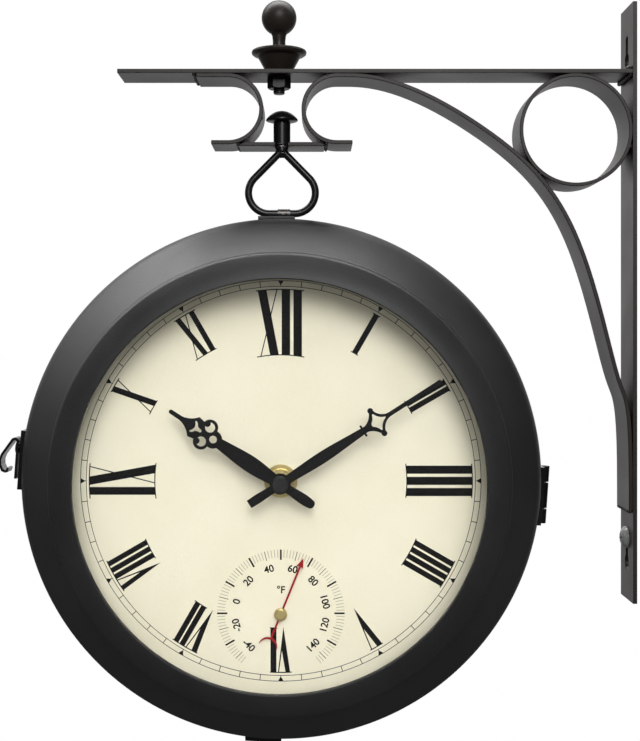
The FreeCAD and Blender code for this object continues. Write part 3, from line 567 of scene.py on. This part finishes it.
def letter_x(top_left, top_right, foot_left, foot_right, thin_top, thin_foot, foot, turn):
    """A thick stroke, and a hairline that runs up to its right side and on from its left one."""
    high_left, high_right, high_thin = [on_ring(NUMERAL_TOP, across)
                                        for across in (top_left, top_right, thin_top)]
    low_left, low_right, low_thin = [on_ring(foot + SERIF, across)
                                     for across in (foot_left, foot_right, thin_foot)]
    inked([high_left, high_right, low_right, low_left], turn)
    half = HAIRLINE / 2
    for start, end, *flank in ((high_thin, low_thin, high_right, low_right),
                               (low_thin, high_thin, high_left, low_left)):
        left, right = [
            intersect_line_line_2d((start[0] + aside, start[1]), (end[0] + aside, end[1]), *flank)
            for aside in (-half, half)]
        inked([(start[0] - half, start[1]), (start[0] + half, start[1]), tuple(right), tuple(left)], turn)


serif(NUMERAL_TOP, -11.8, 11.1, 0)
serif(LONG_FOOT, -11.3, 11.1, 0)
letter_x(-10.9, -6.8, -5.1, -1.0, -1.9, -9.4, LONG_FOOT, 0)
bars([(0.4, 4.4), (6.0, 10.0)], LONG_FOOT, 0)

serif(NUMERAL_TOP, -1.95, 1.95, 30)
serif(SHORT_FOOT, -1.95, 1.95, 30)
bars(even_bars(1, 2.7, 0), SHORT_FOOT, 30)

serif(NUMERAL_TOP, -3.5, 3.5, 60)
serif(SHORT_FOOT, -3.5, 3.5, 60)
bars(even_bars(2, 2.6, 0.75), SHORT_FOOT, 60)

serif(NUMERAL_TOP, -8.1, 8.1, 90)
serif(LONG_FOOT, -8.1, 8.1, 90)
bars(even_bars(3, 3.85, 1.45), LONG_FOOT, 90)

serif(NUMERAL_TOP, -8.4, 6.1, 120)
serif(SHORT_FOOT, -8.4, 6.1, 120)
bars(even_bars(4, 2.6, 0.93, -1.2), SHORT_FOOT, 120)

serif(NUMERAL_TOP, -3.4, 3.4, 150)
letter_v(-3.07, -0.36, (1.07, 80.6), 2.35, 2.9, (0.25, 69.6), 150)

serif(NUMERAL_TOP, -5.2, 5.2, 180)
serif(SHORT_FOOT, 1.7, 5.2, 180)
letter_v(-4.4, -2.2, (-0.5, 80.7), 0.85, 1.35, (-1.2, 69.3), 180)
bars([(2.1, 4.9)], SHORT_FOOT, 180)

serif(NUMERAL_TOP, -6.6, 7.0, 210)
serif(SHORT_FOOT, 0.1, 7.0, 210)
letter_v(-6.1, -3.4, (-2.0, 80.0), -0.7, -0.2, (-2.7, 69.1), 210)
bars([(0.5, 3.1), (3.8, 6.4)], SHORT_FOOT, 210)

serif(NUMERAL_TOP, -8.1, 8.4, 240)
serif(SHORT_FOOT, -2.0, 8.4, 240)
letter_v(-7.5, -5.2, (-4.1, 79.6), -2.3, -1.8, (-5.0, 68.8), 240)
bars([(-1.4, 1.1), (2.0, 4.5), (5.4, 7.9)], SHORT_FOOT, 240)

serif(NUMERAL_TOP, -8.4, 8.4, 270)
serif(LONG_FOOT, -8.4, 8.4, 270)
bars([(-6.6, -2.9)], LONG_FOOT, 270)
letter_x(-1.9, 2.1, 3.6, 7.7, 6.8, -0.9, LONG_FOOT, 270)

serif(NUMERAL_TOP, -3.8, 3.8, 300)
serif(SHORT_FOOT, -3.8, 3.8, 300)
letter_x(-3.36, -0.5, 0.57, 3.4, 2.7, -2.5, SHORT_FOOT, 300)

serif(NUMERAL_TOP, -6.1, 5.4, 330)
serif(SHORT_FOOT, -6.4, 5.0, 330)
letter_x(-5.4, -2.8, -2.1, 0.4, 0.2, -5.4, SHORT_FOOT, 330)
bars([(1.9, 4.5)], SHORT_FOOT, 330)

for hour in range(12):
    inked([(-TRACK_WEDGE, TRACK_OUTER), (TRACK_WEDGE, TRACK_OUTER), (0, TRACK_INNER + 0.4)], 30 * hour)
for minute in range(60):
    inked([(-TRACK_TICK, TRACK_OUTER), (TRACK_TICK, TRACK_OUTER),
           (TRACK_TICK, TRACK_INNER), (-TRACK_TICK, TRACK_INNER)], 6 * minute)


def thickened(part):
    """Gives flat ink its body, a little of it sunk in the dial."""
    alone(part)
    bpy.ops.object.mode_set(mode="EDIT")
    bpy.ops.mesh.select_all(action="SELECT")
    bpy.ops.transform.translate(value=(0, (INK_SUNK - INK_PROUD) / 2 * MM, 0))
    bpy.ops.object.mode_set(mode="OBJECT")
    body = part.modifiers.new("ink", "SOLIDIFY")
    body.thickness = (INK_PROUD + INK_SUNK) * MM
    body.offset = 0.0
    bpy.ops.object.modifier_apply(modifier="ink")
    bpy.ops.object.mode_set(mode="EDIT")
    turn_outwards()


track_lines = []
for track_radius in (TRACK_OUTER, TRACK_INNER):
    track_lines.append(spun("track_line", [(track_radius - TRACK_LINE / 2, DIAL_FRONT),
                                           (track_radius + TRACK_LINE / 2, DIAL_FRONT)]))
numerals = joined(patches + track_lines, "front_numerals")
thickened(numerals)
ink = sprayed("black screen ink", "#070606", "#0d0b0a", 0.7, 0.02, 0.4, 0.0)
rear_numerals = rear_copy(numerals, "rear_numerals")
fit(numerals, ink, "clock")
fit(rear_numerals, ink, "rear_door")

# The thermometer's scale.
# Printed with the dial: bold strokes every 30 degrees, lighter ones between them, and a fine pale
# one every 3 degrees. The figures stand for degrees Fahrenheit and follow the ring.

SCALE_DROP = 62.9
SCALE_OUTER = 30.3
SCALE_INNER = 25.4
SCALE_END = 141
BOLD_HALF, MIDDLE_HALF, FINE_HALF = 0.42, 0.19, 0.17
FIGURE_OUT = 21.6
UNIT_OUT = 11.0
FIGURE_SIZE = 4.7
FIGURE_BOLDER = 0.022            # as a share of the figures' size
FIGURES = {-135: "-40", -105: "-20", -75: "0", -45: "20", -15: "40", 15: "60", 45: "80", 75: "100",
           105: "120", 135: "140"}
FEET_OUT = (-135, 105, 135)      # these figures stand with their feet on the ring

grey_ink = sprayed("grey screen ink", "#6d6857", "#7d7866", 0.6, 0.25, 0.4, 0.0)
pale_ink = sprayed("pale screen ink", "#b5af96", "#c0baa1", 0.6, 0.25, 0.4, 0.0)


def scale_strokes(name, angles, half_width, inner, material):
    """One kind of stroke of the scale, in front and behind."""
    patches.clear()
    for angle in angles:
        inked([(-half_width, SCALE_OUTER), (half_width, SCALE_OUTER), (half_width, inner),
               (-half_width, inner)], angle, SCALE_DROP)
    strokes = joined(patches, "front_" + name)
    thickened(strokes)
    twin = rear_copy(strokes, "rear_" + name)
    fit(strokes, material, "clock")
    fit(twin, material, "rear_door")


bold_angles = range(-120, 121, 30)
middle_angles = range(-135, 136, 30)
fine_angles = [angle for angle in range(-SCALE_END, SCALE_END + 1, 3)
               if angle not in bold_angles and angle not in middle_angles]
scale_strokes("scale_bold", bold_angles, BOLD_HALF, SCALE_INNER, ink)
scale_strokes("scale_middle", middle_angles, MIDDLE_HALF, SCALE_INNER + 0.4, grey_ink)
scale_strokes("scale_fine", fine_angles, FINE_HALF, SCALE_INNER + 1.1, pale_ink)

figures = []
for angle, digits in [*FIGURES.items(), (0, "°F")]:
    bpy.ops.object.select_all(action="DESELECT")
    out = FIGURE_OUT if angle else UNIT_OUT
    turn = math.radians(angle + (180 if angle in FEET_OUT else 0))
    x = CLOCK_X + out * math.sin(math.radians(angle))
    z = CLOCK_Z - SCALE_DROP + out * math.cos(math.radians(angle))
    bpy.ops.object.text_add(location=(x * MM, DIAL_FRONT * MM, z * MM),
                            rotation=(math.pi / 2, turn, 0))
    figure = bpy.context.object
    figure.data.body = digits
    figure.data.align_x = "CENTER"
    figure.data.align_y = "CENTER"
    figure.data.size = FIGURE_SIZE * MM
    figure.data.offset = FIGURE_BOLDER * FIGURE_SIZE * MM
    bpy.ops.object.convert(target="MESH")
    figures.append(bpy.context.object)
scale_figures = joined(figures, "front_scale_figures")
thickened(scale_figures)
rear_figures = rear_copy(scale_figures, "rear_scale_figures")
fit(scale_figures, ink, "clock")
fit(rear_figures, ink, "rear_door")

# Behind the dials.
# A moulded black movement with its cell and thumb wheel, a black cup with its coil of bimetal
# strip, sprung steel clips, and the black ring that spaces glass and dial. The plastic has the
# dull sheen of a fine mould.

black_plastic = sprayed("moulded black plastic", "#101010", "#181818", 0.45, 0.4, 0.5, 0.02)
cell_wrap = sprayed("dark blue shrink wrap on the cell", "#14213f", "#1a2a4d", 0.3, 0.5, 3.0, 0.0)
bimetal = turned_metal("bimetal strip", "#8f8468", "#ab9f80", 0.4)
for side in ("front", "rear"):
    for part_name in ("_spacer_ring", "_movement", "_set_knob", "_thermometer_cup"):
        wear(frame["nodes"][side + part_name], black_plastic)
    wear(frame["nodes"][side + "_cell"], cell_wrap)
    wear(frame["nodes"][side + "_dial_clips"], steel)
    wear(frame["nodes"][side + "_thermometer_coil"], bimetal)

# The brass washer and nut.
# Turned from rod and left bare, so that the nut's fluted rim glints. The hour pipe and the spindle
# of the thermometer are the same brass.

brass = turned_metal("turned brass", "#cbb473", "#e6d69c", 0.3)
for side in ("front", "rear"):
    for part_name in ("_washer", "_nut", "_thermometer_spindle"):
        eased(side + part_name, 0.12, brass)
    wear(frame["nodes"][side + "_hour_pipe"], brass)
    wear(frame["nodes"][side + "_minute_arbor"], steel)

# The hands and the cap.
# Stamped from aluminium sheet and sprayed matt black, with the soft edge of a stamping. The
# turned cap is a little glossier.

lacquer = sprayed("matt black lacquer on the hands", "#050505", "#090909", 0.65, 0.08, 0.6, 0.01)
cap_lacquer = sprayed("satin black lacquer on the cap", "#080808", "#0e0e0e", 0.4, 0.25, 0.6, 0.01)
for side in ("front", "rear"):
    for part_name in ("_minute_hand", "_hour_hand"):
        eased(side + part_name, 0.1, lacquer)
    eased(side + "_hand_cap", 0.15, cap_lacquer)

# The thermometer's needle.
# Stamped from thin sheet and sprayed red. The coat is matt, so that the red stays deep under
# the lamps.

red_lacquer = sprayed("red lacquer on the needle", "#8c0a0f", "#a01016", 0.5, 0.12, 0.6, 0.01)
for side in ("front", "rear"):
    wear(frame["nodes"][side + "_thermometer_needle"], red_lacquer)

# The glasses.
# Flat clear float glass, 2 mm thick, with little to mirror in the dim room in front of it.
# Lamps reach the dial through it, because a thin pane takes hardly any light.

glass = blank_material("clear float glass")
pane = add(glass, "BsdfPrincipled", {"Base Color": linear("#ffffff"), "Roughness": 0.0, "IOR": 1.45,
                                     "Transmission Weight": 1.0})
open_way = add(glass, "BsdfTransparent")
path = add(glass, "LightPath")
mixed = add(glass, "MixShader", {"Fac": path.outputs["Is Shadow Ray"], 1: pane.outputs[0],
                                 2: open_way.outputs[0]})
add(glass, "OutputMaterial", {"Surface": mixed.outputs[0]})
for side in ("front", "rear"):
    wear(frame["nodes"][side + "_glass"], glass)

# Studio.
# A white floor and a white room behind the clock, with a broad lamp overhead and one in front. In
# paint and brass the front of the room is dim, as behind a camera, and the lamp overhead is a bright
# strip. A ray through the glass meets one even level, so that no horizon shows on a dial.

FLOOR_DROP = 0.11
FLOOR_SHARE = 0.94
AMBIENT = 0.2
MIRRORED_DIM = 0.06
FLOOR_WHITE = 1.05
BACK_FROM = 0.6
BACK_WHOLE = 0.98
FLOOR_MIRRORED = 0.7
THROUGH_GLASS = 0.3
STRIP_LEAN = 0.26
STRIP_CORE = 0.08
STRIP_HALF = 0.34
STRIP_LEVEL = 14.0
STRIP_UP = (-0.09, 0, 0.996)
STRIP_FADE = 3.2
SENSOR = 36
FOCAL_LENGTH_PX = 1300
PICTURE_HEIGHT_PX = 741

bpy.ops.object.select_all(action="DESELECT")
lowest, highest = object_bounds()
bpy.ops.mesh.primitive_plane_add(size=40, location=(0, 0, lowest.z - FLOOR_DROP))
floor = bpy.context.object
floor.name = "floor"
bpy.ops.object.transform_apply(location=True)
white_floor = blank_material("white studio floor")
ray = add(white_floor, "LightPath").outputs
seen = add(white_floor, "Math", {0: ray["Is Camera Ray"], 1: ray["Is Transmission Ray"]},
           operation="MAXIMUM")
share = add(white_floor, "Math", {0: seen.outputs[0], 1: FLOOR_SHARE}, operation="MULTIPLY")
covered = add(white_floor, "Math", {0: share.outputs[0], 1: ray["Is Glossy Ray"]}, operation="MAXIMUM")
place = add(white_floor, "TexCoord").outputs["Object"]
way = add(white_floor, "VectorMath", {0: place}, operation="NORMALIZE")
behind = add(white_floor, "SeparateXYZ", {"Vector": way.outputs[0]}).outputs["Y"]
mirrored = add(white_floor, "MapRange", {"Value": behind, "From Min": BACK_FROM, "From Max": BACK_WHOLE,
                                         "To Min": MIRRORED_DIM, "To Max": FLOOR_MIRRORED})
straight = add(white_floor, "MapRange", {"Value": ray["Is Glossy Ray"], "To Min": FLOOR_WHITE,
                                         "To Max": mirrored.outputs[0]})
strength = add(white_floor, "MapRange", {"Value": ray["Is Transmission Ray"],
                                         "To Min": straight.outputs[0], "To Max": THROUGH_GLASS})
matt = add(white_floor, "BsdfDiffuse", {"Color": linear("#6a6a6a")})
white = add(white_floor, "Emission", {"Color": linear("#ffffff"), "Strength": strength.outputs[0]})
surface = add(white_floor, "MixShader", {"Fac": covered.outputs[0], 1: matt.outputs[0],
                                         2: white.outputs[0]})
add(white_floor, "OutputMaterial", {"Surface": surface.outputs[0]})
wear(floor, white_floor)

world = bpy.data.worlds.new("white studio")
bpy.context.scene.world = world
world.use_nodes = True
world.node_tree.nodes.clear()
ray = add(world, "LightPath").outputs
place = add(world, "TexCoord").outputs["Generated"]
toward = add(world, "SeparateXYZ", {"Vector": place}).outputs
back = add(world, "MapRange", {"Value": toward["Y"], "From Min": BACK_FROM, "From Max": BACK_WHOLE,
                               "To Min": MIRRORED_DIM, "To Max": 1.0})
off = add(world, "Math", {0: toward["Y"], 1: STRIP_LEAN}, operation="SUBTRACT")
beside = add(world, "Math", {0: off.outputs[0]}, operation="ABSOLUTE")
across = add(world, "MapRange", {"Value": beside.outputs[0], "From Min": STRIP_CORE,
                                 "From Max": STRIP_HALF, "To Min": STRIP_LEVEL, "To Max": 0.0})
up = add(world, "VectorMath", {0: place, 1: STRIP_UP}, operation="DOT_PRODUCT")
above = add(world, "Math", {0: up.outputs["Value"], 1: 0.0}, operation="MAXIMUM")
fade = add(world, "Math", {0: above.outputs[0], 1: STRIP_FADE}, operation="POWER")
strip = add(world, "Math", {0: across.outputs[0], 1: fade.outputs[0]}, operation="MULTIPLY")
mirrored = add(world, "Math", {0: back.outputs[0], 1: strip.outputs[0]}, operation="MAXIMUM")
unseen = add(world, "MapRange", {"Value": ray["Is Glossy Ray"], "To Min": AMBIENT,
                                 "To Max": mirrored.outputs[0]})
through = add(world, "MapRange", {"Value": ray["Is Transmission Ray"], "To Min": unseen.outputs[0],
                                  "To Max": THROUGH_GLASS})
level = add(world, "MapRange", {"Value": ray["Is Camera Ray"], "To Min": through.outputs[0],
                                "To Max": 1.0})
sky = add(world, "Background", {"Color": linear("#ffffff"), "Strength": level.outputs[0]})
add(world, "OutputWorld", {"Surface": sky.outputs[0]})


def soft_light(name, strength, spread, toward):
    """A far lamp; spread is the angle that it fills in the sky, in degrees."""
    bpy.ops.object.light_add(type="SUN")
    lamp = bpy.context.object
    lamp.name = name
    lamp.data.energy = strength
    lamp.data.angle = math.radians(spread)
    lamp.rotation_euler = Vector(toward).to_track_quat("-Z", "Y").to_euler()
    return lamp


overhead = soft_light("overhead light", 3.0, 60, (0.12, -0.5, -0.85))
overhead.visible_glossy = False
soft_light("front light", 1.36, 24, (-0.08, 1, -0.4))

bpy.ops.object.camera_add(location=(-0.157, -0.640, -0.0181), rotation=(math.radians(90), 0, 0))
camera = bpy.context.object
camera.data.sensor_width = SENSOR
camera.data.lens = SENSOR * FOCAL_LENGTH_PX / PICTURE_HEIGHT_PX
camera.data.shift_x = 8 / PICTURE_HEIGHT_PX
camera.data.shift_y = -30.5 / PICTURE_HEIGHT_PX
bpy.context.scene.camera = camera
bpy.context.scene.view_settings.view_transform = "Standard"
